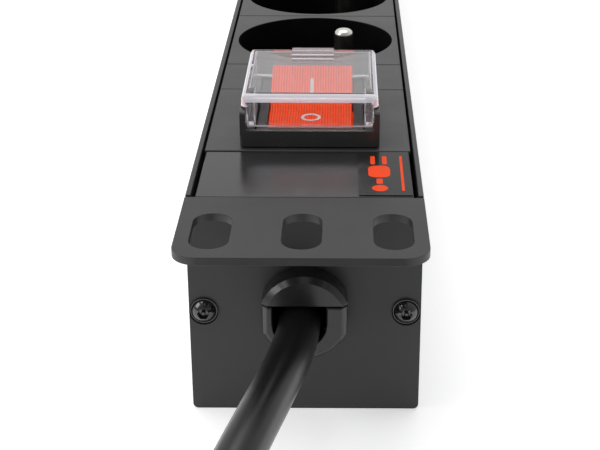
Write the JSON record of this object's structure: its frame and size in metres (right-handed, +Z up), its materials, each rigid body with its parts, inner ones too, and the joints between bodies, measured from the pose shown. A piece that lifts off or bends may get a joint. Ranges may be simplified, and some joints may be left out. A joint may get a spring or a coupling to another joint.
{
  "type": "rack power strip",
  "caption": "Rack-mount mains power strip: aluminium casing, row of round sockets with earth pins, covered rocker switch, slotted rack ears and a cord folded into a tied hank, with its plug.",
  "frame": {"origin": "middle of the casing's underside", "axes": "+Z up out of the sockets, +Y along the strip away from the end that the cord leaves, +X to the right seen from that end"},
  "size_m": [0.0724, 0.7503, 0.0556],
  "materials": {
    "profile": "black anodised, satin",
    "ear_sheet": "black powder coat, satin",
    "screws": "black, glossy",
    "front_plastic": "black, fine satin",
    "label_film": null,
    "inner_plastic": "dark, moulded",
    "tray_plastic": "grey, moulded",
    "nickel": "nickel plated, polished",
    "brass_bars": "stamped",
    "rocker_plastic": "translucent orange, ribbed inside",
    "lamp_glass": "clear, glowing",
    "clear_cover": "clear moulded plastic, glossy",
    "gland_nylon": "black nylon, satin",
    "cord_sheath": "black, satin",
    "plug_moulding": "black, satin",
    "live_insulation": "brown",
    "neutral_insulation": "blue",
    "earth_insulation": "green and yellow"
  },
  "bodies": {
    "strip": {"aluminium_profile": "profile", "blank_plate_cord_end": "front_plastic", "blank_plate_far_end": "front_plastic", "busbar_tray": "tray_plastic", "ear_screw_1": "screws", "ear_screw_2": "screws", "ear_screw_3": "screws", "ear_screw_4": "screws", "earth_busbar": "brass_bars", "earth_core": "earth_insulation", "earth_pin_1": "nickel", "earth_pin_2": "nickel", "earth_pin_3": "nickel", "earth_pin_4": "nickel", "earth_pin_5": "nickel", "earth_pin_6": "nickel", "earth_pin_7": "nickel", "earth_pin_8": "nickel", "front_label": "label_film", "hank_tie": "gland_nylon", "live_busbar": "brass_bars", "live_core": "live_insulation", "live_link": "brass_bars", "mains_cord": "cord_sheath", "mains_cord_hank": "cord_sheath", "mains_cord_tail": "cord_sheath", "neutral_busbar": "brass_bars", "neutral_core": "neutral_insulation", "neutral_link": "brass_bars", "plug_body": "plug_moulding", "plug_pin_insert": "nickel", "rack_ear_cord_end": "ear_sheet", "rack_ear_far_end": "ear_sheet", "socket_1": "front_plastic", "socket_2": "front_plastic", "socket_3": "front_plastic", "socket_4": "front_plastic", "socket_5": "front_plastic", "socket_6": "front_plastic", "socket_7": "front_plastic", "socket_8": "front_plastic", "spacer_plate": "front_plastic", "strain_relief_jaw": "gland_nylon", "strain_relief_wedge": "gland_nylon", "switch_body": "inner_plastic", "switch_frame": "front_plastic", "switch_plate": "front_plastic", "switch_tab_live": "brass_bars", "switch_tab_neutral": "brass_bars"},
    "rocker": {"switch_rocker": "rocker_plastic", "rocker_lamp": "lamp_glass"},
    "cover": {"switch_cover": "clear_cover"},
    "shutter_1": {"socket_shutter_1": "inner_plastic"},
    "shutter_2": {"socket_shutter_2": "inner_plastic"},
    "shutter_3": {"socket_shutter_3": "inner_plastic"},
    "shutter_4": {"socket_shutter_4": "inner_plastic"},
    "shutter_5": {"socket_shutter_5": "inner_plastic"},
    "shutter_6": {"socket_shutter_6": "inner_plastic"},
    "shutter_7": {"socket_shutter_7": "inner_plastic"},
    "shutter_8": {"socket_shutter_8": "inner_plastic"}
  },
  "joints": [
    {"name": "rocker_switch", "type": "hinge", "parent": "strip", "child": "rocker", "pos_m": [0.0004, -0.17365, 0.045], "axis": [-1, 0, 0], "range_deg": [0, 23]},
    {"name": "cover_hinge", "type": "hinge", "parent": "strip", "child": "cover", "pos_m": [0.0004, -0.18805, 0.0499], "axis": [1, 0, 0], "range_deg": [0, 90]},
    {"name": "shutter_slide_1", "type": "slide", "parent": "strip", "child": "shutter_1", "axis": [-0.7071, -0.7071, 0], "range_m": [0, 0.0065], "stiffness_N_per_m": 40, "springref_m": -0.002},
    {"name": "shutter_slide_2", "type": "slide", "parent": "strip", "child": "shutter_2", "axis": [-0.7071, -0.7071, 0], "range_m": [0, 0.0065], "stiffness_N_per_m": 40, "springref_m": -0.002},
    {"name": "shutter_slide_3", "type": "slide", "parent": "strip", "child": "shutter_3", "axis": [-0.7071, -0.7071, 0], "range_m": [0, 0.0065], "stiffness_N_per_m": 40, "springref_m": -0.002},
    {"name": "shutter_slide_4", "type": "slide", "parent": "strip", "child": "shutter_4", "axis": [-0.7071, -0.7071, 0], "range_m": [0, 0.0065], "stiffness_N_per_m": 40, "springref_m": -0.002},
    {"name": "shutter_slide_5", "type": "slide", "parent": "strip", "child": "shutter_5", "axis": [-0.7071, -0.7071, 0], "range_m": [0, 0.0065], "stiffness_N_per_m": 40, "springref_m": -0.002},
    {"name": "shutter_slide_6", "type": "slide", "parent": "strip", "child": "shutter_6", "axis": [-0.7071, -0.7071, 0], "range_m": [0, 0.0065], "stiffness_N_per_m": 40, "springref_m": -0.002},
    {"name": "shutter_slide_7", "type": "slide", "parent": "strip", "child": "shutter_7", "axis": [-0.7071, -0.7071, 0], "range_m": [0, 0.0065], "stiffness_N_per_m": 40, "springref_m": -0.002},
    {"name": "shutter_slide_8", "type": "slide", "parent": "strip", "child": "shutter_8", "axis": [-0.7071, -0.7071, 0], "range_m": [0, 0.0065], "stiffness_N_per_m": 40, "springref_m": -0.002}
  ]
}
